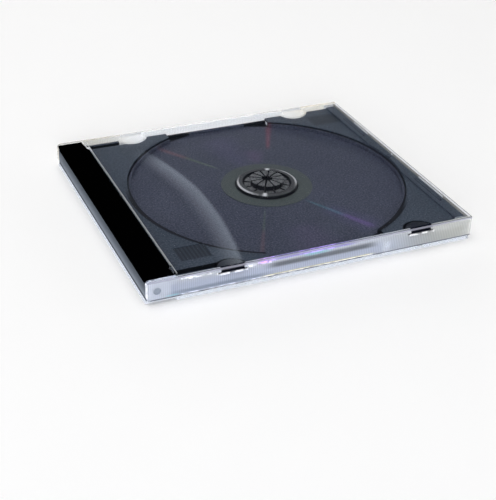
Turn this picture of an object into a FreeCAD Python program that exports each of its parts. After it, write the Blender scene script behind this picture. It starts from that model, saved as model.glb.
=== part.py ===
import FreeCAD, Part
import os

import Sketcher

# A clear hinged case for one disc, empty: lid, base and tray.
# Millimetres. The origin is under the middle of the closed case, +Z up, the spine at -X.

# Driving sizes
SIZES = {
    "case_length": 142.0,
    "case_depth": 125.0,
    "case_height": 10.4,
    "edge_round": 0.3,
    # Lid
    "lid_panel": 1.2,
    "lid_wall": 1.3,
    "lid_gap": 0.3,
    "gusset_reach": 1.0,
    "gusset_length": 7.0,
    "ear_round_top": 1.5,
    "ear_round_low": 2.0,
    "window_length": 10.0,
    "window_height": 1.3,
    "tab_back_x": -36.0,
    "tab_front_x": 47.0,
    "tab_radius": 6.0,
    "tab_thickness": 0.9,
    "stop_inset": 3.7,
    "stop_thickness": 0.8,
    "stop_height": 0.5,
    "stop_play": 0.3,
    "stop_near": 23.5,
    "stop_far": 44.5,
    "stop_nub_width": 2.0,
    # Hinge
    "pin_back": 4.5,
    "pin_height": 5.2,
    "pin_radius": 1.5,
    "pin_play": 0.05,
    "pin_end_gap": 0.2,
    # Base
    "base_floor": 1.2,
    "base_wall": 0.9,
    "base_inset": 0.6,
    "spine_wall": 1.2,
    "spine_inset": 0.3,
    "wall_gap": 0.3,
    "rail_gap": 0.4,
    "rail_thickness": 1.2,
    "rail_drop": 1.7,
    "flange_notch": 12.0,
    "corner_post": 6.0,
    "ledge_length": 16.0,
    "ledge_width": 2.0,
    "ledge_spread": 26.0,
    "snap_x": 31.5,
    "snap_height": 5.1,
    "snap_radius": 0.8,
    "snap_reach": 0.25,
    "snap_play": 0.4,
    "dimple_depth": 0.3,
    "pad_back_x": -20.0,
    "pad_middle_x": 28.0,
    "pad_front_x": 47.0,
    "pad_length": 2.4,
    "pad_height": 0.15,
    # Tray
    "tray_wall": 1.0,
    "tray_gap": 0.2,
    "disc_clearance": 1.0,
    "ledge_play": 0.05,
    "plate_drop": 0.5,
    "strip_width": 12.4,
    "strip_gap": 0.6,
    "strip_thickness": 1.1,
    "strip_play": 0.1,
    "strip_round": 0.5,
    "lip_width": 1.2,
    "lip_drop": 0.8,
    "strip_cut": 0.8,
    "strip_cut_length": 7.6,
    "flange_width": 4.3,
    "channel_wall": 1.0,
    "channel_width": 3.1,
    "rim_play": 0.8,
    "rim_width": 1.5,
    "rim_drop": 0.1,
    "opening_half": 25.5,
    "opening_reach": 6.4,
    "pocket_play": 1.2,
    "patch_back": 19.0,
    "patch_side": 12.5,
    "patch_length": 13.0,
    "patch_width": 10.0,
    "patch_depth": 0.2,
    # Rosette
    "seat_rise": 1.7,
    "land_radius": 20.0,
    "land_rise": 0.2,
    "seat_inner": 10.7,
    "seat_outer": 13.3,
    "seat_round": 0.7,
    "finger_count": 12,
    "finger_slot": 0.8,
    "finger_tip": 2.4,
    "finger_root": 0.5,
    "finger_thickness": 0.8,
    "crown_play": 0.2,
    "crown_wall": 1.2,
    "crown_rise": 0.5,
    "barb_play": 0.05,
    "barb_reach": 0.3,
    "barb_height": 0.2,
    # The disc it is made to hold
    "disc_x": 6.0,
    "disc_radius": 60.0,
    "disc_bore": 7.5,
    "disc_thickness": 1.2,
}

# Places worked out from the driving sizes
PLACES = {
    "half_length": "case_length / 2",
    "half_depth": "case_depth / 2",
    "lid_under": "case_height - lid_panel",
    "lid_inner": "half_depth - lid_wall",
    "lid_foot": "base_floor + lid_gap",
    "strip_edge": "strip_width - half_length",
    "panel_edge": "strip_edge + strip_gap",
    "gusset_edge": "panel_edge - gusset_reach",
    "gusset_side": "lid_inner - gusset_length",
    "window_low": "lid_under - window_height",
    "tab_low": "window_low - tab_thickness",
    "stop_outer": "half_length - stop_inset",
    "stop_inner": "stop_outer - stop_thickness",
    "stop_low": "lid_under - stop_height",
    "nub_half": "stop_nub_width / 2",
    "pin_x": "pin_back - half_length",
    "base_end": "half_length - base_inset",
    "end_inner": "base_end - base_wall",
    "wall_top": "lid_under - wall_gap",
    "rail_outer": "lid_inner - rail_gap",
    "rail_inner": "rail_outer - rail_thickness",
    "pin_end": "rail_inner + pin_end_gap",
    "hole_radius": "pin_radius + pin_play",
    "spine_outer": "spine_inset - half_length",
    "spine_inner": "spine_outer + spine_wall",
    "notch_end": "flange_notch - half_length",
    "post_edge": "base_end - corner_post",
    "disc_top": "lid_under - disc_clearance",
    "disc_seat": "disc_top - disc_thickness",
    "tray_floor": "disc_seat - seat_rise",
    "tray_under": "tray_floor - tray_wall",
    "plate_top": "disc_top - plate_drop",
    "plate_under": "plate_top - tray_wall",
    "rail_top": "plate_top - rail_drop",
    "ledge_top": "tray_under - ledge_play",
    "ledge_side": "rail_inner - ledge_width",
    "snap_end": "rail_outer + snap_reach",
    "dimple_radius": "snap_radius + snap_play",
    "dimple_end": "lid_inner + dimple_depth",
    "pad_top": "base_floor + pad_height",
    "tray_side": "rail_inner - tray_gap",
    "tray_back": "strip_edge - tray_wall",
    "tray_end": "end_inner - tray_gap",
    "flange_inner": "tray_end - flange_width",
    "flange_top": "stop_low - stop_play",
    "pocket_radius": "tab_radius + pocket_play",
    "channel_outer": "tray_side - channel_wall",
    "channel_side": "channel_outer - channel_width",
    "shelf_side": "channel_side - tray_wall",
    "well_side": "lid_inner - pocket_radius - tray_wall",
    "well_back_0": "tab_back_x - pocket_radius - tray_wall",
    "well_back_1": "tab_back_x + pocket_radius + tray_wall",
    "well_front_0": "tab_front_x - pocket_radius - tray_wall",
    "well_front_1": "tab_front_x + pocket_radius + tray_wall",
    "strip_side": "lid_inner - tray_gap",
    "strip_back": "spine_outer",
    "strip_under": "wall_top + strip_play",
    "strip_top": "strip_under + strip_thickness",
    "lip_low": "strip_under - lip_drop",
    "lip_edge": "strip_back + lip_width",
    "spine_top": "lip_low - strip_play",
    "strip_cut_edge": "gusset_edge - strip_cut",
    "strip_cut_side": "lid_inner - strip_cut_length",
    "rim_radius": "disc_radius + rim_play",
    "rim_floor": "disc_seat - rim_drop",
    "recess_radius": "rim_radius - rim_width",
    "bowl_radius": "rim_radius + tray_wall",
    "opening_0": "disc_x - opening_half",
    "opening_1": "disc_x + opening_half",
    "opening_side": "tray_side - opening_reach",
    "patch_x0": "strip_edge + patch_back - patch_length",
    "patch_x1": "strip_edge + patch_back",
    "patch_y0": "half_depth - patch_side",
    "patch_y1": "patch_y0 - patch_width",
    "patch_floor": "plate_top - patch_depth",
    "land_top": "tray_floor + land_rise",
    "finger_under": "tray_floor",
    "finger_top": "finger_under + finger_thickness",
    "finger_end": "seat_inner + finger_root",
    "slot_start": "finger_tip / 2",
    "slot_end": "seat_inner - finger_root",
    "slot_half": "finger_slot / 2",
    "crown_outer": "disc_bore - crown_play",
    "crown_inner": "crown_outer - crown_wall",
    "crown_top": "disc_top + crown_rise",
    "crown_under": "crown_top - finger_thickness",
    "barb_low": "disc_top + barb_play",
    "barb_mid": "barb_low + barb_height",
    "barb_radius": "crown_outer + barb_reach",
    "crown_lead": "crown_outer - barb_reach",
    "window_back_0": "tab_back_x - window_length / 2",
    "window_back_1": "tab_back_x + window_length / 2",
    "window_front_0": "tab_front_x - window_length / 2",
    "window_front_1": "tab_front_x + window_length / 2",
    "ledge_back_0": "disc_x - ledge_spread - ledge_length / 2",
    "ledge_back_1": "disc_x - ledge_spread + ledge_length / 2",
    "ledge_front_0": "disc_x + ledge_spread - ledge_length / 2",
    "ledge_front_1": "disc_x + ledge_spread + ledge_length / 2",
    "pad_back_0": "pad_back_x - pad_length / 2",
    "pad_back_1": "pad_back_x + pad_length / 2",
    "pad_middle_0": "pad_middle_x - pad_length / 2",
    "pad_middle_1": "pad_middle_x + pad_length / 2",
    "pad_front_0": "pad_front_x - pad_length / 2",
    "pad_front_1": "pad_front_x + pad_length / 2",
}

doc = FreeCAD.newDocument("jewel_case")
sheet = doc.addObject("Spreadsheet::Sheet", "sizes")


def fill_sheet():
    """Writes one row per size and per place: its name in column A, its value in column B."""
    rows = {name: str(value) for name, value in SIZES.items()}
    rows.update({name: "=" + text for name, text in PLACES.items()})
    for row, (name, text) in enumerate(rows.items(), start=1):
        sheet.set(f"A{row}", name)
        sheet.set(f"B{row}", text)
        sheet.setAlias(f"B{row}", name)
    sheet.recompute()


def number(place):
    """The value of a named place. A leading minus gives its mirror image."""
    value = float(sheet.get(place.lstrip("-")))
    return -value if place.startswith("-") else value


def cell(place):
    """The expression for a named place, with or without a leading minus."""
    name = place.lstrip("-")
    return f"-sizes.{name}" if place.startswith("-") else f"sizes.{name}"


def origin_plane(body, role):
    return next(item for item in body.Origin.OriginFeatures if item.Role == role)


def new_body(name):
    body = doc.addObject("PartDesign::Body", name)
    body.Label = name
    return body


def new_sketch(body, name, role, offset, centre=None):
    """A sketch on an origin plane, moved along its normal, with its own origin at centre along X."""
    sketch = body.newObject("Sketcher::SketchObject", name + "_sketch")
    sketch.AttachmentSupport = (origin_plane(body, role), [""])
    sketch.MapMode = "FlatFace"
    if offset:
        sketch.setExpression("AttachmentOffset.Base.z", cell(offset))
    if centre:
        sketch.setExpression("AttachmentOffset.Base.x", cell(centre))
    return sketch


def hold(sketch, geometry, point, across, along):
    """Holds one point of the sketch at two named places."""
    for kind, place in (("DistanceX", across), ("DistanceY", along)):
        at = sketch.addConstraint(Sketcher.Constraint(kind, -1, 1, geometry, point, number(place)))
        sketch.setExpression(f"Constraints[{at}]", cell(place))


def outline(sketch, points):
    """A closed outline of straight lines through named places."""
    first = sketch.GeometryCount
    spots = [FreeCAD.Vector(number(x), number(y), 0) for x, y in points]
    count = len(spots)
    for i in range(count):
        sketch.addGeometry(Part.LineSegment(spots[i], spots[(i + 1) % count]), False)
    for i in range(count):
        following = first + (i + 1) % count
        sketch.addConstraint(Sketcher.Constraint("Coincident", first + i, 2, following, 1))
    for i, (x, y) in enumerate(points):
        hold(sketch, first + i, 1, x, y)


def rectangle(sketch, left, right, low, high):
    outline(sketch, [(left, low), (right, low), (right, high), (left, high)])


def circle(sketch, radius, across=None, along=None):
    """A circle of a named radius, at named places or at the sketch's origin."""
    at = FreeCAD.Vector(number(across), number(along), 0) if across else FreeCAD.Vector()
    shape = Part.Circle(at, FreeCAD.Vector(0, 0, 1), number(radius))
    item = sketch.addGeometry(shape, False)
    if across:
        hold(sketch, item, 3, across, along)
    else:
        sketch.addConstraint(Sketcher.Constraint("Coincident", item, 3, -1, 1))
    size_radius(sketch, item, radius)


def size_radius(sketch, item, radius):
    at = sketch.addConstraint(Sketcher.Constraint("Radius", item, number(radius)))
    sketch.setExpression(f"Constraints[{at}]", cell(radius))


def half_moon(sketch, across, along, radius):
    """A half disc on the +Y side of a chord, which is centred on the named place."""
    centre = FreeCAD.Vector(number(across), number(along), 0)
    side = FreeCAD.Vector(number(radius), 0, 0)
    bow = sketch.addGeometry(
        Part.Arc(centre + side, centre + FreeCAD.Vector(0, number(radius), 0), centre - side), False
    )
    chord = sketch.addGeometry(Part.LineSegment(centre - side, centre + side), False)
    sketch.addConstraint(Sketcher.Constraint("Coincident", bow, 2, chord, 1))
    sketch.addConstraint(Sketcher.Constraint("Coincident", bow, 1, chord, 2))
    sketch.addConstraint(Sketcher.Constraint("PointOnObject", bow, 3, chord))
    sketch.addConstraint(Sketcher.Constraint("Horizontal", chord))
    hold(sketch, bow, 3, across, along)
    size_radius(sketch, bow, radius)


def span(low, high):
    """The expression for the distance between two named levels. No low one means the origin plane."""
    return f"{cell(high)} - ({cell(low)})" if low else cell(high)


def pad(body, name, role, low, high, draw, centre=None):
    """Material between two named levels of an origin plane's normal, from the drawn sketch."""
    sketch = new_sketch(body, name, role, low, centre)
    draw(sketch)
    feature = body.newObject("PartDesign::Pad", name)
    feature.Profile = sketch
    feature.setExpression("Length", span(low, high))
    return feature


def pocket(body, name, role, low, high, draw, centre=None):
    """A cut between two named levels. It starts at the high one and must take volume away."""
    doc.recompute()
    before = body.Shape.Volume
    sketch = new_sketch(body, name, role, high, centre)
    draw(sketch)
    feature = body.newObject("PartDesign::Pocket", name)
    feature.Profile = sketch
    feature.setExpression("Length", span(low, high))
    doc.recompute()
    if feature.Shape.Volume >= before:
        raise RuntimeError(name + " cuts nothing")
    return feature


def mirror(body, name, features):
    """The same features on the far long side."""
    feature = body.newObject("PartDesign::Mirrored", name)
    feature.Originals = features
    feature.MirrorPlane = (origin_plane(body, "XZ_Plane"), [""])
    body.Tip = feature
    return feature


def fillet(body, name, radius, chosen):
    """A fillet on the edges of the body that chosen picks."""
    doc.recompute()
    base = body.Tip
    edges = [f"Edge{i}" for i, edge in enumerate(base.Shape.Edges, start=1) if chosen(edge)]
    feature = body.newObject("PartDesign::Fillet", name)
    feature.Base = (base, edges)
    feature.setExpression("Radius", cell(radius))
    body.Tip = feature
    return feature


def lies(edge, x=None, y=None, z=None):
    """True for an edge that lies in each given plane. A y counts on both long sides."""
    near = 1e-4
    points = [vertex.Point for vertex in edge.Vertexes]
    flat_x = x is None or all(abs(p.x - number(x)) < near for p in points)
    flat_y = y is None or all(abs(abs(p.y) - number(y)) < near for p in points)
    flat_z = z is None or all(abs(p.z - number(z)) < near for p in points)
    return flat_x and flat_y and flat_z


def round_edge(edge, radius, z):
    """True for a circular edge of this radius at this level."""
    curve = edge.Curve
    is_circle = curve.TypeId == "Part::GeomCircle"
    return is_circle and abs(curve.Radius - number(radius)) < 1e-4 and lies(edge, z=z)


def build_lid():
    """Clear cover: panel, side walls with ears and pins, booklet tabs, stop ribs."""
    body = new_body("lid")
    pad(body, "lid_panel", "XY_Plane", "lid_under", "case_height",
        lambda s: rectangle(s, "panel_edge", "half_length", "-half_depth", "half_depth"))
    gusset = pad(body, "lid_gusset", "XY_Plane", "lid_under", "case_height",
                 lambda s: rectangle(s, "gusset_edge", "panel_edge", "-half_depth", "-gusset_side"))
    wall = pad(body, "lid_side_wall", "XZ_Plane", "lid_inner", "half_depth",
               lambda s: rectangle(s, "-half_length", "half_length", "lid_foot", "case_height"))
    sides = [gusset, wall]
    for where in ("back", "front"):
        sides += lid_tab(body, where)
    sides.append(pad(body, "lid_pin", "XZ_Plane", "pin_end", "lid_inner",
                     lambda s: circle(s, "pin_radius", "pin_x", "pin_height")))
    sides.append(pad(body, "lid_stop", "XY_Plane", "stop_low", "lid_under",
                     lambda s: rectangle(s, "stop_inner", "stop_outer", "-stop_far", "-stop_near")))
    sides.append(pocket(body, "lid_dimple", "XZ_Plane", "lid_inner", "dimple_end",
                        lambda s: circle(s, "dimple_radius", "snap_x", "snap_height")))
    mirror(body, "lid_far_side", sides)
    pad(body, "lid_stop_nub", "XY_Plane", "stop_low", "lid_under",
        lambda s: rectangle(s, "stop_inner", "stop_outer", "-nub_half", "nub_half"))
    fillet(body, "lid_ear_top", "ear_round_top", lambda e: lies(e, x="-half_length", z="case_height"))
    fillet(body, "lid_ear_low", "ear_round_low", lambda e: lies(e, x="-half_length", z="lid_foot"))
    fillet(body, "lid_rim", "edge_round",
           lambda e: lies(e, x="half_length", y="half_depth") or lies(e, x="half_length", z="case_height")
           or long_rim(e))
    return body


def long_rim(edge):
    """True for the lid's long upper edges, without the short pieces in the rounded corners."""
    return lies(edge, y="half_depth", z="case_height") and edge.Length > number("half_length")


def lid_tab(body, where):
    """A half-moon booklet tab and the window above it that lets the mould out."""
    at = f"tab_{where}_x"
    tab = pad(body, f"lid_tab_{where}", "XY_Plane", "tab_low", "window_low",
              lambda s: half_moon(s, at, "-lid_inner", "tab_radius"))
    window = pocket(body, f"lid_window_{where}", "XZ_Plane", "lid_inner", "half_depth",
                    lambda s: rectangle(s, f"window_{where}_0", f"window_{where}_1",
                                        "window_low", "lid_under"))
    return [tab, window]


def build_base():
    """Clear back shell: floor, side flanges, spine and end walls, rails with pin holes."""
    body = new_body("base")
    pad(body, "base_floor", "XY_Plane", None, "base_floor",
        lambda s: rectangle(s, "-half_length", "base_end", "-rail_outer", "rail_outer"))
    pad(body, "base_spine", "XY_Plane", "base_floor", "spine_top",
        lambda s: rectangle(s, "spine_outer", "spine_inner", "-rail_outer", "rail_outer"))
    pad(body, "base_end_wall", "XY_Plane", "base_floor", "wall_top",
        lambda s: rectangle(s, "end_inner", "base_end", "-rail_outer", "rail_outer"))
    sides = [
        pad(body, "base_flange", "XY_Plane", None, "base_floor",
            lambda s: rectangle(s, "notch_end", "base_end", "-half_depth", "-rail_outer")),
        pad(body, "base_rail", "XZ_Plane", "rail_inner", "rail_outer", rail_profile),
        pocket(body, "base_pin_hole", "XZ_Plane", "rail_inner", "rail_outer",
               lambda s: circle(s, "hole_radius", "pin_x", "pin_height")),
        pad(body, "base_snap", "XZ_Plane", "rail_outer", "snap_end",
            lambda s: circle(s, "snap_radius", "snap_x", "snap_height")),
    ]
    for where in ("back", "front"):
        sides.append(pad(body, f"base_ledge_{where}", "XY_Plane", "base_floor", "ledge_top",
                         lambda s, w=where: rectangle(s, f"ledge_{w}_0", f"ledge_{w}_1",
                                                      "-rail_inner", "-ledge_side")))
    for where in ("back", "middle", "front"):
        sides.append(pad(body, f"base_pad_{where}", "XY_Plane", "base_floor", "pad_top",
                         lambda s, w=where: rectangle(s, f"pad_{w}_0", f"pad_{w}_1",
                                                      "-half_depth", "-lid_inner")))
    mirror(body, "base_far_side", sides)
    fillet(body, "base_corners", "edge_round",
           lambda e: lies(e, x="base_end", y="half_depth") or lies(e, x="base_end", y="rail_outer"))
    return body


def rail_profile(sketch):
    """Tall at the hinge and at the opening corner, low beside the tray's open sides."""
    outline(sketch, [
        ("spine_outer", "base_floor"), ("base_end", "base_floor"), ("base_end", "wall_top"),
        ("post_edge", "wall_top"), ("post_edge", "rail_top"), ("strip_edge", "rail_top"),
        ("strip_edge", "wall_top"), ("spine_outer", "wall_top"),
    ])


def build_tray():
    """Black moulding: strip over the spine, corner plates, round recess and rosette."""
    body = new_body("tray")
    pad(body, "tray_block", "XY_Plane", "tray_under", "plate_top",
        lambda s: rectangle(s, "tray_back", "tray_end", "-tray_side", "tray_side"))
    pocket(body, "tray_underside", "XY_Plane", "tray_under", "plate_under", around_bowl, "disc_x")
    build_wells(body)
    pad(body, "tray_flange", "XY_Plane", "plate_top", "flange_top",
        lambda s: rectangle(s, "flange_inner", "tray_end", "-tray_side", "tray_side"))
    pocket(body, "tray_rim", "XY_Plane", "rim_floor", "flange_top",
           lambda s: circle(s, "rim_radius"), "disc_x")
    pocket(body, "tray_recess", "XY_Plane", "tray_floor", "rim_floor",
           lambda s: circle(s, "recess_radius"), "disc_x")
    cut_wells(body)
    pad(body, "tray_step", "XY_Plane", "plate_top", "strip_under",
        lambda s: rectangle(s, "tray_back", "strip_edge", "-tray_side", "tray_side"))
    pad(body, "tray_strip", "XY_Plane", "strip_under", "strip_top", strip_outline)
    pad(body, "tray_lip", "XY_Plane", "lip_low", "strip_under",
        lambda s: rectangle(s, "strip_back", "lip_edge", "-tray_side", "tray_side"))
    pocket(body, "tray_patch", "XY_Plane", "patch_floor", "plate_top",
           lambda s: rectangle(s, "patch_x0", "patch_x1", "-patch_y0", "-patch_y1"))
    build_rosette(body)
    fillet(body, "tray_strip_round", "strip_round", lambda e: lies(e, x="strip_edge", z="strip_top"))
    return body


def build_wells(body):
    """Material under the plates that floors the booklet tabs' pockets and the side channels."""
    wells = [
        pad(body, f"tray_well_{where}", "XY_Plane", "tray_under", "plate_under",
            lambda s, w=where: rectangle(s, f"well_{w}_0", f"well_{w}_1", "-tray_side", "-well_side"))
        for where in ("back", "front")
    ]
    wells.append(pad(body, "tray_shelf", "XY_Plane", "tray_under", "plate_under",
                     lambda s: rectangle(s, "tray_back", "tab_back_x", "-tray_side", "-shelf_side")))
    mirror(body, "tray_far_wells", wells)


def cut_wells(body):
    """The half-moon pockets for the lid's tabs, the channels by the hinge, and the open long sides."""
    cuts = [
        pocket(body, f"tray_pocket_{where}", "XY_Plane", "tray_floor", "plate_top",
               lambda s, w=where: half_moon(s, f"tab_{w}_x", "-lid_inner", "pocket_radius"))
        for where in ("back", "front")
    ]
    cuts.append(pocket(body, "tray_channel", "XY_Plane", "tray_floor", "plate_top",
                       lambda s: rectangle(s, "strip_edge", "tab_back_x", "-channel_outer", "-channel_side")))
    cuts.append(pocket(body, "tray_side_opening", "XY_Plane", "tray_floor", "plate_top",
                       lambda s: rectangle(s, "opening_0", "opening_1", "-half_depth", "-opening_side")))
    mirror(body, "tray_far_pockets", cuts)


def around_bowl(sketch):
    """All that lies outside the round bowl: the plates are hollow from below there."""
    rectangle(sketch, "-case_length", "case_length", "-case_length", "case_length")
    circle(sketch, "bowl_radius")


def strip_outline(sketch):
    """The strip's cap, cut back at both ends for the lid's gussets."""
    outline(sketch, [
        ("strip_back", "-strip_side"), ("strip_cut_edge", "-strip_side"),
        ("strip_cut_edge", "-strip_cut_side"), ("strip_edge", "-strip_cut_side"),
        ("strip_edge", "strip_cut_side"), ("strip_cut_edge", "strip_cut_side"),
        ("strip_cut_edge", "strip_side"), ("strip_back", "strip_side"),
    ])


def build_rosette(body):
    """Round land with the disc's seat ring, and the spring fingers whose barbs hold its bore."""
    pad(body, "tray_land", "XY_Plane", "tray_floor", "land_top",
        lambda s: circle(s, "land_radius"), "disc_x")
    pad(body, "tray_seat", "XY_Plane", "tray_floor", "disc_seat",
        lambda s: circle(s, "seat_outer"), "disc_x")
    pocket(body, "tray_opening", "XY_Plane", "tray_under", "disc_seat",
           lambda s: circle(s, "seat_inner"), "disc_x")
    sketch = new_sketch(body, "tray_fingers", "XZ_Plane", None, "disc_x")
    outline(sketch, [
        ("crown_inner", "finger_under"), ("finger_end", "finger_under"), ("finger_end", "finger_top"),
        ("crown_outer", "finger_top"), ("crown_outer", "barb_low"), ("barb_radius", "barb_mid"),
        ("crown_lead", "crown_top"), ("finger_tip", "crown_top"), ("finger_tip", "crown_under"),
        ("crown_inner", "crown_under"),
    ])
    fingers = body.newObject("PartDesign::Revolution", "tray_fingers")
    fingers.Profile = sketch
    fingers.ReferenceAxis = (sketch, ["V_Axis"])
    fingers.Angle = 360
    slot = pocket(body, "tray_slot", "XY_Plane", "finger_under", "crown_top",
                  lambda s: rectangle(s, "slot_start", "slot_end", "-slot_half", "slot_half"), "disc_x")
    slots = body.newObject("PartDesign::PolarPattern", "tray_slots")
    slots.Originals = [slot]
    slots.Axis = (slot.Profile[0], ["N_Axis"])
    slots.Angle = 360
    slots.setExpression("Occurrences", cell("finger_count"))
    body.Tip = slots
    fillet(body, "tray_seat_round", "seat_round", lambda e: round_edge(e, "seat_outer", "disc_seat"))


def check(bodies):
    """Stops at a failed feature or a bad solid."""
    for item in doc.Objects:
        if "Invalid" in item.State or "Error" in item.State:
            raise RuntimeError(f"{item.Name} failed: {item.State}")
    for body in bodies:
        shape = body.Shape
        if shape.isNull() or not shape.isValid() or len(shape.Solids) != 1:
            raise RuntimeError(f"{body.Label} is not one valid solid")


fill_sheet()
made = [build_lid(), build_base(), build_tray()]
doc.recompute()
check(made)
os.makedirs("parts", exist_ok=True)
for piece in made:
    piece.Shape.exportStep(f"parts/{piece.Label}.step")
    print(piece.Label, round(piece.Shape.Volume), "mm3")
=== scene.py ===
import math

import bmesh
import bpy
from mathutils import Matrix, Vector


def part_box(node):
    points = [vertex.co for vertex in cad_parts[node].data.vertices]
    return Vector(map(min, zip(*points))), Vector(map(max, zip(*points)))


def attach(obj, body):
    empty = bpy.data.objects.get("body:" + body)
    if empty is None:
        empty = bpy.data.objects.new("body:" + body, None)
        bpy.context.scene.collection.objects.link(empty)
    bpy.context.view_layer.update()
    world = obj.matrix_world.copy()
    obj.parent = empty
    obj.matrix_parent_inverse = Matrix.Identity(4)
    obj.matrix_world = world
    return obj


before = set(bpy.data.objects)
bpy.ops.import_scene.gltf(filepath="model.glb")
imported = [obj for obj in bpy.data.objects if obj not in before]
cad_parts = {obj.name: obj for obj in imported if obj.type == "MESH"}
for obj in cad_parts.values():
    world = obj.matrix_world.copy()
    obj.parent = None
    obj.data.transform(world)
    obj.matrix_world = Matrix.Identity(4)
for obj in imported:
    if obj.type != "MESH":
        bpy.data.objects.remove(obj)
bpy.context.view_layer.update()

# A clear hinged case for one disc, empty.
# Metres, in the frame's own axes: the spine at -X, the opening end at +X.

MM = 0.001

# Places read from the frame
lid_low, lid_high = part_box("lid")
base_low, base_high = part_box("base")
tray_low, tray_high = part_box("tray")
half_depth = lid_high.y
lid_top = lid_high.z

# Lid
lid_wall = 1.3 * MM
lid_panel = 1.2 * MM
lid_inner = half_depth - lid_wall
lid_under = lid_top - lid_panel
window_low = lid_under - 1.3 * MM
window_half = 5.0 * MM
tab_low = window_low - 0.9 * MM
tab_radius = 6.0 * MM
tab_back_x = -36.0 * MM
tab_front_x = 47.0 * MM
hinge_x = lid_low.x + 4.5 * MM

# Base
base_floor = 1.2 * MM
lid_foot = base_floor + 0.3 * MM
rail_outer = lid_inner - 0.4 * MM
spine_inner = base_low.x + 1.2 * MM
end_inner = base_high.x - 0.9 * MM

# Tray
strip_edge = lid_low.x + 12.4 * MM
panel_edge = strip_edge + 0.6 * MM
plate_top = 7.7 * MM
patch_floor = plate_top - 0.2 * MM
rim_floor = 6.9 * MM
rim_radius = 60.8 * MM
recess_radius = 59.3 * MM
tray_under = tray_low.z
tray_floor = tray_under + 1.0 * MM
strip_reach = 1.6 * MM
tray_side = tray_high.y - strip_reach
opening_back = -19.5 * MM
opening_front = 31.5 * MM
opening_side = tray_side - 6.4 * MM

# Rosette
hub_x = 6.0 * MM
land_radius = 20.0 * MM
seat_inner = 10.7 * MM
seat_outer = 13.3 * MM
seat_top = 7.0 * MM
finger_top = tray_floor + 0.8 * MM
crown_top = 8.7 * MM

# Ribs and small mouldings
RIB_PITCH = 0.8 * MM
RIB_WIDTH = 0.5 * MM
RIB_PROUD = 0.1 * MM
RIB_EDGE = 0.03 * MM
RIB_FOOT = 1.8 * MM
LID_RIB_TOP = 6.7 * MM
LID_RIB_ROWS = (("back", -61.0 * MM, 113), ("front", 33.4 * MM, 43))
SPINE_RIB_TOP = 7.4 * MM
SPINE_RIB_PITCH = 1.0 * MM
SPINE_RIB_START = -58.0 * MM
SPINE_RIB_COUNT = 116
TRAY_EDGE = 0.1 * MM

# Camera of the photograph: angles in degrees, lengths in metres, lens in millimetres
VIEW_AZIMUTH = -24.39
VIEW_ELEVATION = 31.12
VIEW_ROLL = 1.88
VIEW_DISTANCE = 0.49007
VIEW_SLIDE = (-0.00252, -0.02249)
VIEW_LIFT = 0.0003
LENS = 80.39

# The way that camera looks, along X and Y
AWAY_X = 0.41
AWAY_Y = 0.91

# Reflector card: its inner edge as the lid's top mirrors it, in millimetres on the lid
CARD_EDGE = ((-31.5, -66.0), (-30.0, -58.0), (-28.0, -48.0), (-26.6, -37.0), (-25.4, -26.0), (-25.0, -14.0),
             (-25.0, -2.0), (-26.2, 8.0), (-28.0, 18.0), (-30.2, 28.0), (-33.0, 38.0), (-37.0, 48.0))
CARD_WIDTH = 0.048
CARD_LEVEL = 0.681

# Soft boxes: name, place, aim, width, depth, watts, colour
LAMPS = (("top_softbox", (-0.2, 0.2, 1.9), (0.0, 0.0, 0.0), 2.2, 2.2, 34.0, (1.0, 0.99, 0.97)),
         ("back_softbox", (0.3, 1.7, 0.32), (0.0, 0.0, 0.02), 1.8, 0.5, 6.0, (1.0, 0.985, 0.94)),
         ("front_softbox", (-0.8, -1.7, 0.55), (0.0, 0.0, 0.0), 1.4, 0.7, 22.0, (0.97, 0.98, 1.0)))

# Air round the studio: pale up to one height over the horizon, dark from the other, in degrees
PALE_AIR_TOP = 14.0
DARK_AIR_FOOT = 24.0


def rgb(red, green, blue):
    return (red, green, blue, 1.0)


WHITE = rgb(1.0, 1.0, 1.0)

# Painted highlights on the near wall, bright lines shown as emission: X from and to, Z from and to, in
# millimetres
NEAR_WALL_HIGHLIGHTS = ((-57.0, -45.0, 8.3, 8.8), (-29.5, -20.0, 8.0, 8.6), (-42.5, -37.5, 6.9, 7.8),
                   (-36.5, -30.0, 6.9, 7.8), (41.5, 46.0, 6.9, 7.8), (47.0, 53.0, 6.9, 7.8),
                   (-57.0, 25.0, 1.75, 1.95), (-70.95, -70.6, 2.0, 9.6), (-69.5, -59.0, 9.6, 10.1),
                   (-26.0, -17.0, 8.5, 9.3), (-8.0, 8.0, 8.8, 9.2))

# Painted highlights, painted shade and painted split-light tints on the near wall: X from and to, Z from
# and to, softness along X and Z, colour
NEAR_WALL_PAINTED_LIGHT = ((-20.0, 25.0, 5.2, 7.4, 4.0, 0.7, rgb(0.30, 0.32, 0.35)),
                   (-60.0, -22.0, 2.2, 3.6, 6.0, 0.7, rgb(0.50, 0.56, 0.66)),
                   (-57.0, -44.0, 8.0, 8.4, 0.3, 0.1, WHITE),
                   (-30.0, -20.0, 8.0, 8.4, 0.3, 0.1, WHITE),
                   (-43.0, -29.5, 7.2, 7.8, 0.5, 0.1, WHITE),
                   (41.0, 53.0, 7.2, 7.8, 0.5, 0.1, rgb(1.0, 1.0, 0.97)),
                   (-23.0, 25.0, 1.8, 2.3, 3.0, 0.2, rgb(1.0, 0.94, 0.66)),
                   (-25.0, -20.0, 7.9, 9.2, 1.5, 0.4, rgb(0.80, 0.45, 1.0)),
                   (-20.0, 16.0, 8.3, 9.2, 4.0, 0.3, rgb(0.50, 0.45, 1.0)),
                   (-5.0, 5.0, 7.3, 8.3, 3.0, 0.5, rgb(0.45, 0.85, 0.95)),
                   (-63.0, -58.0, 1.9, 2.4, 1.0, 0.3, rgb(0.55, 0.95, 1.0)),
                   (-71.0, -70.2, 1.5, 9.2, 0.2, 0.2, WHITE))

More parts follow.
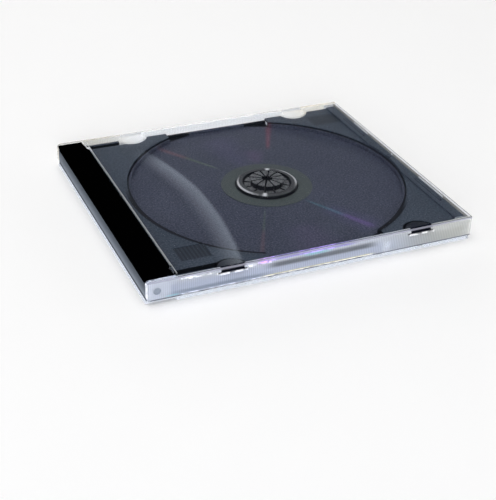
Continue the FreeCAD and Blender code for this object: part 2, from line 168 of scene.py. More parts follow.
# Where shades change along X on the side walls: from and to
CREAM_BACK = (-30.0 * MM, -55.0 * MM)
CREAM_FRONT = (35.0 * MM, 60.0 * MM)
NEAR_WALL_WARM = (20.0 * MM, 66.0 * MM)
# VIOLET_REACH: where the painted violet glow of the near wall lies
VIOLET_REACH = (-26.0 * MM, 10.0 * MM)

# Glints along the top of the end wall's inner face: Y from and to, in millimetres
END_GLINTS = ((-42.0, -22.0), (1.2, 2.4), (24.5, 38.5))

# Dark ring of painted shade round the bowl: how far from the middle, away from the camera, each of its two
# kinds fades in
RING_STEP_FADE = (-22.0 * MM, 2.0 * MM)
RING_PAINT_FADE = (-8.0 * MM, -22.0 * MM)

# Plates: the far corner in painted shade, and the bars of the small patch
SHADED_CORNER_X = (51.0 * MM, 65.0 * MM)
SHADED_CORNER_Y = (43.5 * MM, 53.5 * MM)
PATCH_BAR_PITCH = 1.6 * MM

# Bearings of the seat ring's two painted glints, in degrees
SEAT_GLINTS = (-118.0, 65.0)

# Painted split light in the bowl, shown as emission: bearing and half width in degrees, radius from and to
# in millimetres, colour
BOWL_STREAKS = ((65.0, 2.2, 37.0, 60.0, rgb(0.30, 0.03, 0.03)),
                (-116.0, 1.6, 23.0, 40.0, rgb(0.07, 0.12, 0.03)),
                (-116.0, 1.6, 40.0, 58.0, rgb(0.14, 0.05, 0.03)),
                (-61.4, 2.8, 22.0, 40.0, rgb(0.03, 0.20, 0.22)),
                (-61.4, 3.0, 40.0, 55.0, rgb(0.16, 0.06, 0.30)),
                (122.9, 2.2, 27.0, 44.0, rgb(0.12, 0.20, 0.04)),
                (122.9, 2.2, 44.0, 58.0, rgb(0.26, 0.07, 0.04)),
                (-61.4, 11.0, 32.0, 56.0, rgb(0.035, 0.02, 0.09)),
                (-92.0, 16.0, 38.0, 56.0, rgb(0.045, 0.02, 0.06)),
                (77.0, 12.0, 22.0, 34.0, rgb(0.09, 0.03, 0.10)),
                (95.0, 18.0, 20.0, 50.0, rgb(0.04, 0.025, 0.08)))


# Shader building

def new_material(name):
    material = bpy.data.materials.new(name)
    material.use_nodes = True
    material.node_tree.nodes.clear()
    return material


def put(tree, node, socket, source):
    """Sets an input to a plain value, or links it to another node's output."""
    if isinstance(source, bpy.types.NodeSocket):
        tree.links.new(source, node.inputs[socket])
    else:
        node.inputs[socket].default_value = source


def shader(tree, kind, **inputs):
    """A shader node with its inputs set. An underscore in a name stands for a space."""
    node = tree.nodes.new("ShaderNode" + kind)
    for name, source in inputs.items():
        put(tree, node, name.replace("_", " "), source)
    return node.outputs[0]


def maths(tree, operation, *sources):
    node = tree.nodes.new("ShaderNodeMath")
    node.operation = operation
    for index, source in enumerate(sources):
        put(tree, node, index, source)
    return node.outputs[0]


def times(tree, first, *others):
    """The product of two or more values."""
    for other in others:
        first = maths(tree, "MULTIPLY", first, other)
    return first


def largest(tree, first, *others):
    for other in others:
        first = maths(tree, "MAXIMUM", first, other)
    return first


def place(tree):
    """The point's own X, Y and Z in metres."""
    coordinates = tree.nodes.new("ShaderNodeTexCoord")
    split = tree.nodes.new("ShaderNodeSeparateXYZ")
    tree.links.new(coordinates.outputs["Object"], split.inputs[0])
    return split.outputs[0], split.outputs[1], split.outputs[2]


def ramp(tree, value, start, end, low=0.0, high=1.0):
    """Goes smoothly from low to high as the value goes from start to end."""
    node = tree.nodes.new("ShaderNodeMapRange")
    node.interpolation_type = "SMOOTHSTEP"
    for socket, source in zip(("Value", "From Min", "From Max", "To Min", "To Max"),
                              (value, start, end, low, high)):
        put(tree, node, socket, source)
    return node.outputs[0]


def band(tree, value, start, end, soft):
    """One between start and end, and nothing outside them."""
    rise = ramp(tree, value, start - soft, start + soft)
    fall = ramp(tree, value, end - soft, end + soft, 1.0, 0.0)
    return times(tree, rise, fall)


def grain(tree, scale, detail=3.0):
    """Noise from 0 to 1 on the point's own coordinates."""
    coordinates = tree.nodes.new("ShaderNodeTexCoord")
    noise = tree.nodes.new("ShaderNodeTexNoise")
    noise.inputs["Scale"].default_value = scale
    noise.inputs["Detail"].default_value = detail
    tree.links.new(coordinates.outputs["Object"], noise.inputs["Vector"])
    return noise.outputs["Fac"]


def waves(tree, value, pitch):
    """A wave from 0 to 1 that repeats each pitch."""
    turns = times(tree, value, 2 * math.pi / pitch)
    return maths(tree, "MULTIPLY_ADD", maths(tree, "SINE", turns), 0.5, 0.5)


def blend_colours(tree, way, factor, colour_a, colour_b):
    node = tree.nodes.new("ShaderNodeMix")
    node.data_type = "RGBA"
    node.blend_type = way
    put(tree, node, 0, factor)
    put(tree, node, 6, colour_a)
    put(tree, node, 7, colour_b)
    return node.outputs[2]


def tint(tree, factor, colour_a, colour_b):
    """A mix of two colours, or of two colour outputs."""
    return blend_colours(tree, "MIX", factor, colour_a, colour_b)


def added(tree, factor, colour_a, colour_b):
    """The first colour plus the factor's share of the second."""
    return blend_colours(tree, "ADD", factor, colour_a, colour_b)


def bump(tree, height, distance, strength):
    node = tree.nodes.new("ShaderNodeBump")
    node.inputs["Strength"].default_value = strength
    node.inputs["Distance"].default_value = distance
    tree.links.new(height, node.inputs["Height"])
    return node.outputs[0]


def mixed(tree, factor, first, second):
    node = tree.nodes.new("ShaderNodeMixShader")
    put(tree, node, 0, factor)
    tree.links.new(first, node.inputs[1])
    tree.links.new(second, node.inputs[2])
    return node.outputs[0]


def both(tree, first, second):
    """The light of two shaders together."""
    node = tree.nodes.new("ShaderNodeAddShader")
    tree.links.new(first, node.inputs[0])
    tree.links.new(second, node.inputs[1])
    return node.outputs[0]


def show(tree, surface):
    output = tree.nodes.new("ShaderNodeOutputMaterial")
    tree.links.new(surface, output.inputs["Surface"])


def clear_styrene(tree, colour, roughness):
    """Clear moulded plastic that lets the lamps' light through to what lies under it."""
    glass = shader(tree, "BsdfGlass", Color=colour, Roughness=roughness, IOR=1.59)
    path = tree.nodes.new("ShaderNodeLightPath")
    see_through = shader(tree, "BsdfTransparent", Color=rgb(0.86, 0.88, 0.9))
    return mixed(tree, path.outputs["Is Shadow Ray"], glass, see_through)


def frosted(tree, lightness, cover):
    """A scattering skin on clear plastic: part of the light goes on through."""
    diffuse = shader(tree, "BsdfDiffuse", Color=lightness)
    through = shader(tree, "BsdfTranslucent", Color=lightness)
    clear = shader(tree, "BsdfTransparent", Color=rgb(0.95, 0.96, 0.98))
    return mixed(tree, cover, clear, mixed(tree, 0.4, diffuse, through))


# Lid

def tab_faces(tree, z):
    """The booklet tabs' own level, with a little to spare."""
    return band(tree, z, tab_low - 0.1 * MM, window_low + 0.1 * MM, 0.05 * MM)


def hazy_lid_faces(tree, y, z, side):
    """The inner faces of both side walls, and the far tabs."""
    under_panel = ramp(tree, z, lid_under - 0.01 * MM, lid_under - 0.03 * MM)
    walls = band(tree, side, lid_inner - 0.12 * MM, lid_inner + 0.02 * MM, 0.01 * MM)
    walls = times(tree, walls, under_panel)
    tab_reach = lid_inner - tab_radius
    # Only the far tabs get the haze, so they read lighter than the near ones: painted light
    far_tabs = times(tree, ramp(tree, y, tab_reach - 0.5 * MM, tab_reach - 0.2 * MM), tab_faces(tree, z))
    return largest(tree, walls, times(tree, far_tabs, 0.9))


def wall_frost(tree, x, z, far):
    """The ribbed haze of the side walls. The far wall gets more haze, so it reads lighter: painted light.
    It is cream at both ends.
    """
    cover = maths(tree, "MULTIPLY_ADD", waves(tree, x, RIB_PITCH), 0.22,
                  maths(tree, "MULTIPLY_ADD", far, 0.16, 0.58))
    cream = tint(tree, ramp(tree, x, *CREAM_BACK), rgb(1.0, 0.99, 0.96), rgb(0.80, 0.76, 0.64))
    cream = tint(tree, ramp(tree, x, *CREAM_FRONT), cream, rgb(0.98, 0.93, 0.80))
    return frosted(tree, tint(tree, far, near_wall_tint_and_painted_light(tree, x, z), cream), cover)


def near_wall_tint_and_painted_light(tree, x, z):
    """The near wall's tint, with painted highlights in pale lines, a greyer middle of painted shade and
    faint painted split light under its top edge.
    """
    colour = tint(tree, ramp(tree, x, *NEAR_WALL_WARM), rgb(0.84, 0.87, 0.95), rgb(0.86, 0.85, 0.78))
    for left, right, low, high, soft_x, soft_z, shade in NEAR_WALL_PAINTED_LIGHT:
        mark = times(tree, band(tree, x, left * MM, right * MM, soft_x * MM),
                     band(tree, z, low * MM, high * MM, soft_z * MM))
        colour = tint(tree, mark, colour, shade)
    return colour


def near_wall_painted_highlights(tree, x, y, z):
    """Painted highlights: the thin bright lines that the near wall's steps and edges catch."""
    total = 0.0
    for left, right, low, high in NEAR_WALL_HIGHLIGHTS:
        line = times(tree, band(tree, x, left * MM, right * MM, 0.15 * MM),
                     band(tree, z, low * MM, high * MM, 0.08 * MM))
        total = maths(tree, "ADD", line, total)
    uneven = ramp(tree, grain(tree, 420.0, 1.0), 0.35, 0.6)
    near = ramp(tree, y, -lid_inner + 0.03 * MM, -lid_inner + 0.01 * MM)
    return times(tree, total, uneven, near)


def painted_wall_glow(tree, x, y, z, far, hazy):
    """Painted glow, an emission that stands in for light piped along the walls: even on the far one, in
    lines on the near one, violet in its middle.
    """
    violet_part = times(tree, band(tree, x, *VIOLET_REACH, 2.0 * MM),
                        maths(tree, "SUBTRACT", ramp(tree, z, 8.0 * MM, 8.5 * MM), far))
    colour = tint(tree, violet_part, rgb(0.97, 0.96, 1.0), rgb(0.50, 0.28, 0.95))
    lines = near_wall_painted_highlights(tree, x, y, z)
    strength = maths(tree, "ADD", times(tree, hazy, far, 0.16), times(tree, lines, 0.7))
    return shader(tree, "Emission", Color=colour, Strength=strength)


def near_tabs(tree, y, z, side):
    tab_reach = -lid_inner + tab_radius
    reached = ramp(tree, y, tab_reach + 0.5 * MM, tab_reach + 0.3 * MM)
    off_wall = ramp(tree, side, lid_inner - 0.1 * MM, lid_inner - 0.2 * MM)
    return times(tree, reached, tab_faces(tree, z), off_wall)


def panel_end_highlight(tree, x, z, side):
    """The end face of the top panel beside the black strip, which is given a painted highlight."""
    return times(tree, band(tree, x, panel_edge - 0.1 * MM, panel_edge + 0.12 * MM, 0.04 * MM),
                 ramp(tree, z, lid_under - 0.05 * MM, lid_under + 0.05 * MM),
                 ramp(tree, side, lid_inner - 0.7 * MM, lid_inner - 1.2 * MM))


def hinge_pins(tree, x, side):
    return times(tree, ramp(tree, side, lid_inner - 0.02 * MM, lid_inner - 0.06 * MM),
                 ramp(tree, x, hinge_x + 1.9 * MM, hinge_x + 1.8 * MM))


def window_faces(tree, x, y, z, side):
    """The cut faces of the near wall's two windows."""
    reach = window_half - 0.02 * MM
    windows = largest(tree, *(band(tree, x, tab_x - reach, tab_x + reach, 0.02 * MM)
                              for tab_x in (tab_back_x, tab_front_x)))
    return times(tree, windows, ramp(tree, y, -lid_inner + 1 * MM, -lid_inner),
                 band(tree, side, lid_inner - 0.2 * MM, half_depth - 0.08 * MM, 0.02 * MM),
                 band(tree, z, window_low - 0.05 * MM, lid_under + 0.05 * MM, 0.02 * MM))


def lid_plastic():
    """Clear and glossy outside. The walls' inner faces and the far tabs are ribbed and hazy; the near tabs,
    the windows' cut faces and the near foot are painted shade; the panel's end, the top edges and the walls
    carry painted highlights and a painted glow.
    """
    material = new_material("lid_clear_styrene")
    tree = material.node_tree
    x, y, z = place(tree)
    side = maths(tree, "ABSOLUTE", y)
    far = ramp(tree, y, -1.0 * MM, 1.0 * MM)
    haze = ramp(tree, grain(tree, 900.0), 0.2, 0.8, 0.004, 0.02)
    clear = clear_styrene(tree, rgb(0.97, 0.98, 1.0), haze)
    hazy = hazy_lid_faces(tree, y, z, side)
    body = mixed(tree, hazy, clear, wall_frost(tree, x, z, far))
    body = mixed(tree, panel_end_highlight(tree, x, z, side), body, frosted(tree, rgb(0.80, 0.82, 0.84), 0.75))
    body = mixed(tree, hinge_pins(tree, x, side), body, frosted(tree, rgb(0.42, 0.47, 0.55), 0.8))
    # Painted shade: the near tabs are mostly near black
    black = shader(tree, "BsdfPrincipled", Base_Color=rgb(0.006, 0.008, 0.014), Roughness=0.3)
    body = mixed(tree, near_tabs(tree, y, z, side), body, mixed(tree, 0.8, clear, black))
    body = both(tree, body, painted_wall_glow(tree, x, y, z, far, hazy))
    # Painted light and shade on the walls' top edges: pale on the far side, darker on the near one
    top_edge = times(tree, ramp(tree, side, half_depth - 0.06 * MM, half_depth - 0.03 * MM),
                     ramp(tree, z, lid_under, lid_under + 0.2 * MM))
    edge_highlight_and_shade = tint(tree, far, rgb(0.50, 0.50, 0.60), rgb(0.95, 0.93, 0.84))
    body = mixed(tree, top_edge, body, frosted(tree, edge_highlight_and_shade, 0.55))
    # Painted shade: the windows' cut faces are near black
    painted_window_shade = shader(tree, "BsdfDiffuse", Color=rgb(0.003, 0.004, 0.012))
    body = mixed(tree, window_faces(tree, x, y, z, side), body, painted_window_shade)
    # Painted shade: a dark line along the near wall's foot, where the gap above the base is
    foot = band(tree, z, lid_foot - 0.04 * MM, lid_foot + 0.16 * MM, 0.04 * MM)
    near_foot = times(tree, maths(tree, "SUBTRACT", 1.0, far), foot, 0.8)
    painted_gap_shade = shader(tree, "BsdfDiffuse", Color=rgb(0.10, 0.11, 0.14))
    show(tree, mixed(tree, near_foot, body, painted_gap_shade))
    return material


# Base

def spine_grey_and_painted_shade(tree, y, z):
    """Grey, darker towards the top in painted shade, with fine upright stripes and a dark line of painted
    shade at the foot.
    """
    grey = tint(tree, ramp(tree, z, 1.5 * MM, 8.0 * MM), rgb(0.42, 0.47, 0.55), rgb(0.20, 0.23, 0.27))
    grey = tint(tree, band(tree, z, 1.5 * MM, 2.4 * MM, 0.2 * MM), grey, rgb(0.02, 0.022, 0.028))
    stripes = times(tree, waves(tree, y, SPINE_RIB_PITCH), 0.35)
    return tint(tree, stripes, grey, rgb(0.03, 0.035, 0.045))


def end_wall_colours(tree, x, y, z):
    """Dark grey, with a few painted glints along the top of the inner face."""
    glints = 0.0
    for start, stop in END_GLINTS:
        glints = maths(tree, "ADD", glints, band(tree, y, start * MM, stop * MM, 0.4 * MM))
    inner_edge = times(tree, band(tree, x, end_inner - 0.1 * MM, end_inner + 0.2 * MM, 0.02 * MM),
                       ramp(tree, z, 7.9 * MM, 8.0 * MM))
    return tint(tree, times(tree, glints, inner_edge), rgb(0.30, 0.29, 0.26), WHITE)


def base_plastic():
    """Clear floor and flanges, ribbed and hazy rails, spine and end wall."""
    material = new_material("base_clear_styrene")
    tree = material.node_tree
    x, y, z = place(tree)
    above_floor = ramp(tree, z, base_floor + 0.01 * MM, base_floor + 0.05 * MM)
    rails = ramp(tree, maths(tree, "ABSOLUTE", y), rail_outer - 0.05 * MM, rail_outer - 0.02 * MM)
    spine = ramp(tree, x, spine_inner + 0.05 * MM, spine_inner + 0.02 * MM)
    end = ramp(tree, x, end_inner - 0.05 * MM, end_inner - 0.02 * MM)
    walls = times(tree, largest(tree, rails, spine, end), above_floor)
    haze = ramp(tree, grain(tree, 700.0), 0.2, 0.8, 0.01, 0.04)
    clear = clear_styrene(tree, rgb(0.96, 0.975, 1.0), haze)
    ribs = waves(tree, maths(tree, "ADD", x, y), RIB_PITCH)
    cover = largest(tree, maths(tree, "MULTIPLY_ADD", ribs, 0.25, 0.5), times(tree, spine, 0.92))
    pale = tint(tree, end, rgb(0.78, 0.80, 0.84), end_wall_colours(tree, x, y, z))
    pale = tint(tree, spine, pale, spine_grey_and_painted_shade(tree, y, z))
    show(tree, mixed(tree, walls, clear, frosted(tree, pale, cover)))
    return material


# Tray

def polar(tree, x, y):
    """Distance from the rosette's middle in metres, and the bearing in degrees from +X."""
    across = maths(tree, "SUBTRACT", x, hub_x)
    squares = maths(tree, "ADD", maths(tree, "POWER", across, 2.0), maths(tree, "POWER", y, 2.0))
    bearing = times(tree, maths(tree, "ARCTAN2", y, across), 180.0 / math.pi)
    return maths(tree, "SQRT", squares), bearing


def streak(tree, radius, bearing, at, half_width, start, end):
    """A radial line of light between two radii in millimetres, fading to its sides and ends."""
    off = maths(tree, "ABSOLUTE", maths(tree, "SUBTRACT", bearing, at))
    across = ramp(tree, off, 0.0, half_width, 1.0, 0.0)
    along = band(tree, radius, start * MM, end * MM, 3.0 * MM)
    return times(tree, across, along)


def seat_ring_painted_highlights(tree, radius, bearing, mottle):
    """Painted highlights, brightest towards its outer edge and on its left and right, with two bright
    painted glints.
    """
    turned = maths(tree, "RADIANS", maths(tree, "SUBTRACT", bearing, 6.0))
    sides = maths(tree, "POWER", maths(tree, "ABSOLUTE", maths(tree, "COSINE", turned)), 3.0)
    painted_highlight = ramp(tree, maths(tree, "ADD", sides, times(tree, mottle, 0.3)), 0.35, 1.1)
    outer_edge = ramp(tree, radius, seat_outer - 1.3 * MM, seat_outer - 0.7 * MM)
    ring = tint(tree, times(tree, painted_highlight, outer_edge), rgb(0.06, 0.06, 0.06), rgb(0.60, 0.59, 0.58))
    for at in SEAT_GLINTS:
        ring = tint(tree, streak(tree, radius, bearing, at, 7.0, 9.0, 14.0), ring, rgb(0.9, 0.9, 0.88))
    return ring


def rosette_painted_light_and_shade(tree, radius, bearing, z, mottle):
    """The seat ring round fingers whose tops and crowns are a lighter grey, a painted highlight, over a
    near black well in painted shade.
    """
    grey = tint(tree, mottle, rgb(0.045, 0.045, 0.045), rgb(0.19, 0.19, 0.19))
    arms = times(tree, band(tree, z, finger_top - 0.1 * MM, finger_top + 0.1 * MM, 0.03 * MM),
                 ramp(tree, radius, seat_inner - 0.5 * MM, seat_inner - 1.1 * MM))
    crowns = ramp(tree, z, crown_top - 0.35 * MM, crown_top - 0.15 * MM)
    fingers = tint(tree, largest(tree, arms, crowns), rgb(0.004, 0.004, 0.005), grey)
    ring_top = times(tree, ramp(tree, radius, seat_inner + 0.02 * MM, seat_inner + 0.08 * MM),
                     ramp(tree, z, seat_top - 0.4 * MM, seat_top - 0.2 * MM))
    return tint(tree, ring_top, fingers, seat_ring_painted_highlights(tree, radius, bearing, mottle))


def plate_and_bowl_colours(tree, x, y, z, radius, mottle):
    """Slate plates and bowl with a dark outline ring of one width between them.

    The ring is painted shade: on the side away from the camera it darkens the step itself, and on the side
    towards it, where the step is hidden, it is a painted line on the plates' edge."""
    dark = rgb(0.0015, 0.002, 0.003)
    away = maths(tree, "ADD", times(tree, x, AWAY_X), times(tree, y, AWAY_Y))
    far_rim = ramp(tree, away, *RING_STEP_FADE)
    bowl_edge = maths(tree, "MULTIPLY_ADD", far_rim, 0.75 * MM, recess_radius + 0.15 * MM)
    in_bowl = times(tree, maths(tree, "LESS_THAN", radius, bowl_edge),
                    ramp(tree, z, rim_floor + 0.06 * MM, rim_floor + 0.02 * MM))
    step_top = times(tree, far_rim, ramp(tree, z, plate_top - 0.45 * MM, plate_top - 0.35 * MM),
                     ramp(tree, radius, rim_radius - 0.3 * MM, rim_radius - 0.1 * MM))
    on_plate = largest(tree, ramp(tree, z, plate_top - 0.15 * MM, plate_top - 0.10 * MM), step_top)
    # Painted shade: the ring's line on the plates' edge
    painted_ring_shade = times(tree, band(tree, radius, rim_radius - 0.1 * MM, rim_radius + 1.1 * MM, 0.15 * MM),
                         ramp(tree, away, *RING_PAINT_FADE))
    plates = tint(tree, mottle, rgb(0.016, 0.022, 0.033), rgb(0.084, 0.100, 0.125))
    shade = tint(tree, on_plate, dark, tint(tree, painted_ring_shade, plates, dark))
    # Painted shade on the plates' far corner
    shaded_corner = times(tree, band(tree, x, *SHADED_CORNER_X, 1.2 * MM),
                        band(tree, y, *SHADED_CORNER_Y, 1.5 * MM))
    shade = tint(tree, times(tree, shaded_corner, on_plate, 0.6), shade, dark)
    patch = band(tree, z, patch_floor - 0.03 * MM, patch_floor + 0.03 * MM, 0.02 * MM)
    bars = waves(tree, x, PATCH_BAR_PITCH)
    barred = tint(tree, bars, rgb(0.016, 0.020, 0.027), rgb(0.032, 0.038, 0.048))
    shade = tint(tree, patch, shade, barred)
    bowl = tint(tree, mottle, rgb(0.017, 0.019, 0.032), rgb(0.090, 0.096, 0.130))
    shade = tint(tree, in_bowl, shade, bowl)
    land = ramp(tree, radius, land_radius + 0.1 * MM, land_radius - 0.1 * MM)
    green_grey = tint(tree, mottle, rgb(0.056, 0.066, 0.062), rgb(0.084, 0.096, 0.090))
    return tint(tree, times(tree, land, in_bowl), shade, green_grey)


# Painted split light: radial streaks shown as emission
def bowl_painted_split_light(tree, radius, bearing):
    colours = rgb(0.0, 0.0, 0.0)
    for at, half_width, start, end, colour in BOWL_STREAKS:
        line = streak(tree, radius, bearing, at, half_width, start, end)
        colours = added(tree, line, colours, colour)
    return colours


def tray_plastic():
    """Black moulded plastic: satin plates, a smooth bowl with faint painted split light as emission, a deep
    black strip.
    """
    material = new_material("tray_black_styrene")
    tree = material.node_tree
    x, y, z = place(tree)
    radius, bearing = polar(tree, x, y)
    fine = grain(tree, 2600.0, 2.0)
    speckle = ramp(tree, grain(tree, 1300.0, 1.0), 0.3, 0.7)
    cloudy = grain(tree, 60.0, 4.0)
    mottle = maths(tree, "MULTIPLY_ADD", cloudy, 0.4, times(tree, speckle, 0.6))
    shade = plate_and_bowl_colours(tree, x, y, z, radius, mottle)
    rosette = ramp(tree, radius, seat_outer + 0.8 * MM, seat_outer + 0.4 * MM)
    shade = tint(tree, rosette, shade, rosette_painted_light_and_shade(tree, radius, bearing, z, mottle))
    rough = ramp(tree, cloudy, 0.3, 0.7, 0.30, 0.42)
    satin = shader(tree, "BsdfPrincipled", Base_Color=shade, Roughness=rough, IOR=1.5,
                   Specular_IOR_Level=0.15, Normal=bump(tree, fine, 0.02 * MM, 0.4),
                   Emission_Color=bowl_painted_split_light(tree, radius, bearing), Emission_Strength=0.30)
    deep_black = tint(tree, fine, rgb(0.0002, 0.0002, 0.0002), rgb(0.0005, 0.0005, 0.0006))
    deep = shader(tree, "BsdfPrincipled", Base_Color=deep_black, Roughness=1.0, Specular_IOR_Level=0.0)
    strip = times(tree, ramp(tree, x, strip_edge + 0.03 * MM, strip_edge + 0.01 * MM),
                  ramp(tree, z, plate_top + 0.3 * MM, plate_top + 0.4 * MM))
    show(tree, mixed(tree, strip, satin, deep))
    return material


def wear(node, material):
    """Puts one material in all of a node's slots."""
    if not node.data.materials:
        node.data.materials.append(material)
    for slot in node.material_slots:
        slot.material = material


# Small mouldings added to the bodies

def pick(mesh, wanted):
    """Selects, in edit mode, the vertices whose place passes a test, and the faces between them."""
    shape = bmesh.from_edit_mesh(mesh)
    shape.select_mode = {"VERT"}
    for vertex in shape.verts:
        vertex.select_set(wanted(vertex.co))
    shape.select_flush_mode()
    bmesh.update_edit_mesh(mesh)


def bar(name, low, high, edge, material):
    """A moulded bar between two corners, with its edges broken."""
    bpy.ops.object.select_all(action="DESELECT")
    bpy.ops.mesh.primitive_cube_add(size=1.0, location=[(a + b) / 2 for a, b in zip(low, high)],
                                    scale=[b - a for a, b in zip(low, high)])
    piece = bpy.context.object
    piece.name = name
    bpy.ops.object.mode_set(mode="EDIT")
    bpy.ops.mesh.select_all(action="SELECT")
    bpy.ops.mesh.bevel(offset=edge, segments=1, affect="EDGES")
    bpy.ops.object.mode_set(mode="OBJECT")
    piece.data.materials.append(material)
    return piece


def keep(piece, body):
    """Ends a new piece: its origin at the frame's, on its body."""
    bpy.ops.object.select_all(action="DESELECT")
    piece.select_set(True)
    bpy.context.view_layer.objects.active = piece
    bpy.ops.object.transform_apply(location=True, rotation=True, scale=True)
    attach(piece, body)


def rib_row(name, low, high, count, step, material):
    """A row of fine upright ribs: one rib, repeated along the wall."""
    rib = bar(name, low, high, RIB_EDGE, material)
    row = rib.modifiers.new("row", "ARRAY")
    row.use_relative_offset = False
    row.use_constant_offset = True
    row.constant_offset_displace = step
    row.count = count
    bpy.ops.object.modifier_apply(modifier="row")
    return rib


def both_sides():
    """The near and the far side, each with its name and its sign along Y."""
    return ("near", -1), ("far", 1)


def build_lid_ribs(material):
    """Ribs on the inner faces of the lid's walls, on either side of the snap dimple."""
    for where, side in both_sides():
        face_low, face_high = sorted((side * lid_inner, side * (lid_inner - RIB_PROUD)))
        for part, start, count in LID_RIB_ROWS:
            ribs = rib_row(f"lid_ribs_{where}_{part}", (start, face_low, RIB_FOOT),
                           (start + RIB_WIDTH, face_high, LID_RIB_TOP), count, (RIB_PITCH, 0, 0), material)
            keep(ribs, "cover")


def build_spine_ribs(material):
    """Ribs on the spine's inner face."""
    ribs = rib_row("spine_ribs", (spine_inner, SPINE_RIB_START, RIB_FOOT),
                   (spine_inner + RIB_PROUD, SPINE_RIB_START + RIB_WIDTH, SPINE_RIB_TOP),
                   SPINE_RIB_COUNT, (0, SPINE_RIB_PITCH, 0), material)
    keep(ribs, "case_back")


def build_tray_sides(material):
    """The low wall and the floor of the tray's open long sides."""
    for where, side in both_sides():
        face_low, face_high = sorted((side * (tray_side - 0.9 * MM), side * (tray_side - 0.05 * MM)))
        wall = bar(f"tray_low_wall_{where}", (opening_back - 0.2 * MM, face_low, tray_floor - 0.3 * MM),
                   (opening_front + 0.2 * MM, face_high, tray_floor + 1.5 * MM), TRAY_EDGE, material)
        keep(wall, "case_back")
        face_low, face_high = sorted((side * (opening_side + 0.6 * MM), side * (tray_side - 0.1 * MM)))
        floor = bar(f"tray_side_floor_{where}", (opening_back - 0.1 * MM, face_low, tray_under + 0.2 * MM),
                    (opening_front + 0.1 * MM, face_high, tray_floor - 0.04 * MM), TRAY_EDGE, material)
        keep(floor, "case_back")


def build_rosette_shade_web(material):
    """A shallow dished web that closes the rosette from below, as a moulded web; it also stands in for the
    shade seen through the slots.
    """
    bpy.ops.object.select_all(action="DESELECT")
    bpy.ops.mesh.primitive_cylinder_add(vertices=96, radius=seat_inner - 0.05 * MM, depth=0.3 * MM,
                                        location=(hub_x, 0.0, tray_under + 0.2 * MM))
    web = bpy.context.object
    web.name = "rosette_shade_web"
    bpy.ops.object.mode_set(mode="EDIT")
    pick(web.data, lambda spot: spot.z > 0)
    bpy.ops.mesh.inset(thickness=0.8 * MM)
    bpy.ops.transform.translate(value=(0.0, 0.0, -0.1 * MM))
    bpy.ops.object.mode_set(mode="OBJECT")
    web.data.materials.append(material)
    keep(web, "case_back")


# Studio

def floor_surface():
    """Plain white paper. The camera sees it a little lighter, so that it meets the background."""
    material = new_material("studio_floor")
    tree = material.node_tree
    paper = tint(tree, grain(tree, 40.0), rgb(0.93, 0.93, 0.935), rgb(0.95, 0.95, 0.955))
    matte = shader(tree, "BsdfDiffuse", Color=paper)
    path = tree.nodes.new("ShaderNodeLightPath")
    seen = largest(tree, path.outputs["Is Camera Ray"], path.outputs["Is Glossy Ray"],
                   path.outputs["Is Transmission Ray"])
    show(tree, both(tree, matte, shader(tree, "Emission", Strength=times(tree, seen, 0.075))))
    return material


def build_floor():
    bpy.ops.object.select_all(action="DESELECT")
    bpy.ops.mesh.primitive_plane_add(size=12.0, location=(0.0, 0.0, 0.0))
    floor = bpy.context.object
    floor.name = "studio_floor"
    wear(floor, floor_surface())


def build_world():
    """A pale horizon under a dark blue-grey studio ceiling."""
    world = bpy.data.worlds.new("studio_air")
    bpy.context.scene.world = world
    world.use_nodes = True
    tree = world.node_tree
    tree.nodes.clear()
    direction = tree.nodes.new("ShaderNodeTexCoord")
    split = tree.nodes.new("ShaderNodeSeparateXYZ")
    tree.links.new(direction.outputs["Generated"], split.inputs[0])
    height = ramp(tree, split.outputs[2], math.sin(math.radians(PALE_AIR_TOP)),
                  math.sin(math.radians(DARK_AIR_FOOT)))
    air = tint(tree, height, rgb(0.95, 0.95, 0.96), rgb(0.020, 0.023, 0.030))
    background = tree.nodes.new("ShaderNodeBackground")
    tree.links.new(air, background.inputs["Color"])
    output = tree.nodes.new("ShaderNodeOutputWorld")
    tree.links.new(background.outputs[0], output.inputs["Surface"])


def build_lamps():
    for name, location, aim, width, depth, watts, colour in LAMPS:
        data = bpy.data.lights.new(name, "AREA")
        data.shape = "RECTANGLE"
        data.size = width
        data.size_y = depth
        data.energy = watts
        data.color = colour
        lamp = bpy.data.objects.new(name, data)
        lamp.location = location
        lamp.rotation_euler = (Vector(aim) - Vector(location)).to_track_quat("-Z", "Y").to_euler()
        bpy.context.scene.collection.objects.link(lamp)


def camera_axes():
    """The camera's place, and its own right, up and backward directions."""
    azimuth, elevation, roll = (math.radians(a) for a in (VIEW_AZIMUTH, VIEW_ELEVATION, VIEW_ROLL))
    back = Vector((math.sin(azimuth) * math.cos(elevation), -math.cos(azimuth) * math.cos(elevation),
                   math.sin(elevation)))
    level = Vector((0, 0, 1)).cross(back).normalized()
    upright = back.cross(level)
    right = math.cos(roll) * level + math.sin(roll) * upright
    up = math.cos(roll) * upright - math.sin(roll) * level
    eye = back * VIEW_DISTANCE + right * VIEW_SLIDE[0] + up * VIEW_SLIDE[1] + Vector((0, 0, VIEW_LIFT))
    return eye, right, up, back


def build_camera():
    eye, right, up, back = camera_axes()
    data = bpy.data.cameras.new("photo_camera")
    data.lens = LENS
    data.sensor_width = 36.0
    data.clip_start = 0.01
    camera = bpy.data.objects.new("photo_camera", data)
    camera.matrix_world = Matrix.Translation(eye) @ Matrix((right, up, back)).transposed().to_4x4()
    bpy.context.scene.collection.objects.link(camera)
    bpy.context.scene.camera = camera


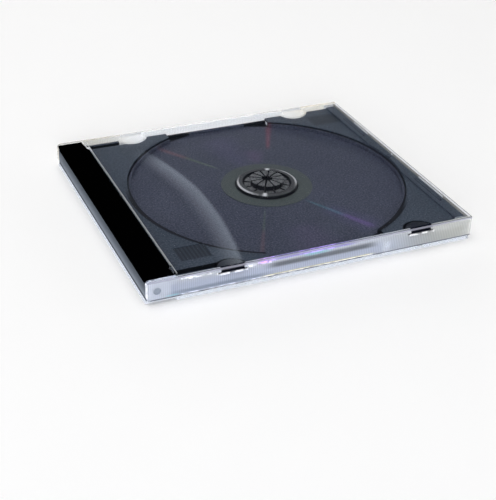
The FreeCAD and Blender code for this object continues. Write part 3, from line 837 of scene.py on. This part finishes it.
def card_glow():
    """Light that is full near the card's inner edge and fades out towards its outer edge and far end."""
    material = new_material("studio_card")
    tree = material.node_tree
    coordinates = tree.nodes.new("ShaderNodeTexCoord")
    split = tree.nodes.new("ShaderNodeSeparateXYZ")
    tree.links.new(coordinates.outputs["UV"], split.inputs[0])
    inwards, along = split.outputs[0], split.outputs[1]
    fall = times(tree, maths(tree, "POWER", inwards, 1.5), ramp(tree, inwards, 1.0, 0.78))
    strength = times(tree, fall, ramp(tree, along, 0.98, 0.78))
    show(tree, shader(tree, "Emission", Color=rgb(0.82, 0.90, 1.0), Strength=strength))
    return material


def build_card():
    """A curved reflector card over the far side. The lid mirrors it as a soft pale arc."""
    eye = camera_axes()[0]
    climb = (CARD_LEVEL - lid_top) / (eye.z - lid_top)
    inner = [(a * MM + (a * MM - eye.x) * climb, b * MM + (b * MM - eye.y) * climb) for a, b in CARD_EDGE]
    steps = len(inner) - 1
    bpy.ops.object.select_all(action="DESELECT")
    bpy.ops.mesh.primitive_grid_add(x_subdivisions=1, y_subdivisions=steps, size=1.0)
    card = bpy.context.object
    card.name = "studio_card"
    bpy.ops.object.mode_set(mode="EDIT")
    bpy.ops.mesh.select_all(action="SELECT")
    bpy.ops.transform.resize(value=(CARD_WIDTH, 1.0, 1.0))
    for step, (edge_x, edge_y) in enumerate(inner):
        row = step / steps - 0.5
        pick(card.data, lambda spot: abs(spot.y - row) < 0.01 and spot.z < CARD_LEVEL / 2)
        bpy.ops.transform.translate(value=(edge_x - CARD_WIDTH / 2, edge_y - row, CARD_LEVEL))
    bpy.ops.object.mode_set(mode="OBJECT")
    card.data.materials.append(card_glow())
    card.visible_camera = False
    card.visible_shadow = False


lid_material = lid_plastic()
base_material = base_plastic()
tray_material = tray_plastic()
wear(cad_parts["lid"], lid_material)
wear(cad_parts["base"], base_material)
wear(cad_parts["tray"], tray_material)
build_lid_ribs(lid_material)
build_spine_ribs(base_material)
build_tray_sides(tray_material)
build_rosette_shade_web(tray_material)
build_floor()
build_world()
build_lamps()
build_card()
build_camera()
bpy.context.scene.view_settings.view_transform = "Standard"
